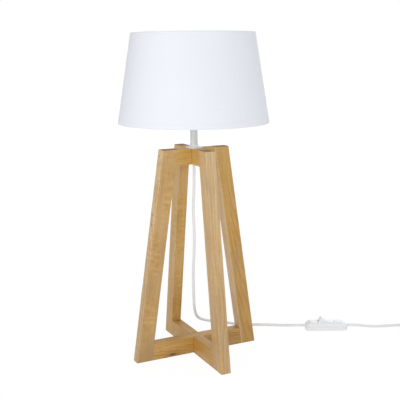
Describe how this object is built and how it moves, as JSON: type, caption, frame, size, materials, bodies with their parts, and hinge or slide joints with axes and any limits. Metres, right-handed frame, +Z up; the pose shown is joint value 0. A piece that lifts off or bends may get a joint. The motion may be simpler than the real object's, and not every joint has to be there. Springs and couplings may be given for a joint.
{
  "type": "bedside lamp",
  "caption": "Bedside lamp on a crossed timber frame, with a short white column, a tapered white fabric shade, and a white cord with an inline rocker switch and plug.",
  "frame": {"origin": "on the table, under the middle of the crossed base", "axes": "+Z up along the column; one timber frame lies along X and the other along Y"},
  "size_m": [0.6414, 0.4066, 0.61],
  "materials": {
    "beech": "pale varnished beech, visible grain",
    "dowel_beech": "bare beech",
    "white_metal": "satin white powder coat",
    "zinc_steel": "zinc plated",
    "nickel": "thin nickel plate",
    "contact_brass": "plain",
    "holder_plastic": "satin white moulding",
    "insert_plastic": "pale thermoset moulding",
    "shade_cloth": "smooth white cotton, fine weave",
    "shade_backing": "white styrene sheet",
    "opal": "frosted opal",
    "bulb_plastic": "white moulding",
    "bulb_board": "plain board",
    "dark_insulator": "black glassy insulator",
    "cord_sheath": "smooth white PVC",
    "lead_sheath": "insulated conductor",
    "switch_plastic": "satin white moulding",
    "plug_plastic": "soft white moulding",
    "sleeve_plastic": "dark pin sleeve",
    "tie_plastic": "white strap"
  },
  "bodies": {
    "root": {"leg_left": "beech", "leg_right": "beech", "leg_front": "beech", "leg_rear": "beech", "top_rail_x": "beech", "top_rail_y": "beech", "bottom_rail_x": "beech", "bottom_rail_y": "beech", "rail_dowels": "dowel_beech", "flange_cap": "white_metal", "column_tube": "white_metal", "threaded_rod": "zinc_steel", "rod_washer": "zinc_steel", "rod_nut": "zinc_steel", "clamp_screws": "zinc_steel", "housing_screws": "zinc_steel", "terminal_screws": "zinc_steel", "screw_shell": "nickel", "plug_pins": "nickel", "centre_contact": "contact_brass", "side_contact": "contact_brass", "holder_terminals": "contact_brass", "terminal_blocks": "contact_brass", "contact_blade": "contact_brass", "fixed_contact": "contact_brass", "holder_cap": "holder_plastic", "holder_skirt": "holder_plastic", "cord_bush": "holder_plastic", "holder_insert": "insert_plastic", "column_cord": "cord_sheath", "cord_to_switch": "cord_sheath", "cord_from_switch": "cord_sheath", "cord_coil": "cord_sheath", "cord_to_plug": "cord_sheath", "holder_leads": "lead_sheath", "switch_leads": "lead_sheath", "switch_base": "switch_plastic", "switch_cover": "switch_plastic", "cord_clamps": "switch_plastic", "plug_body": "plug_plastic", "plug_relief": "plug_plastic", "pin_sleeves": "sleeve_plastic", "coil_tie": "tie_plastic"},
    "rocker": {"switch_rocker": "switch_plastic"},
    "shade": {"shade_fabric": "shade_cloth", "shade_liner": "shade_backing", "top_hem": "shade_cloth", "bottom_hem": "shade_cloth", "top_wire_ring": "white_metal", "bottom_wire_ring": "white_metal", "shade_spokes": "white_metal", "fitter_plate": "white_metal"},
    "clamp_ring": {"shade_ring": "holder_plastic"},
    "bulb": {"bulb_globe": "opal", "bulb_housing": "bulb_plastic", "bulb_cap": "nickel", "bulb_tip": "contact_brass", "bulb_insulator": "dark_insulator", "led_board": "bulb_board"}
  },
  "joints": [
    {"name": "rocker_tilt", "type": "hinge", "parent": "root", "child": "rocker", "pos_m": [0.2941, -0.0205, 0.0125], "axis": [-0.4368, -0.8996, 0], "range_deg": [0, 30]},
    {"name": "shade_turn", "type": "hinge", "parent": "root", "child": "shade", "pos_m": [0, 0, 0.48], "axis": [0, 0, 1], "continuous": true},
    {"name": "ring_turn", "type": "hinge", "parent": "root", "child": "clamp_ring", "pos_m": [0, 0, 0.486], "axis": [0, 0, 1], "range_deg": [0, 1080]},
    {"name": "bulb_lift", "type": "slide", "parent": "root", "child": "bulb", "axis": [0, 0, 1], "range_m": [0, 0.15]}
  ]
}
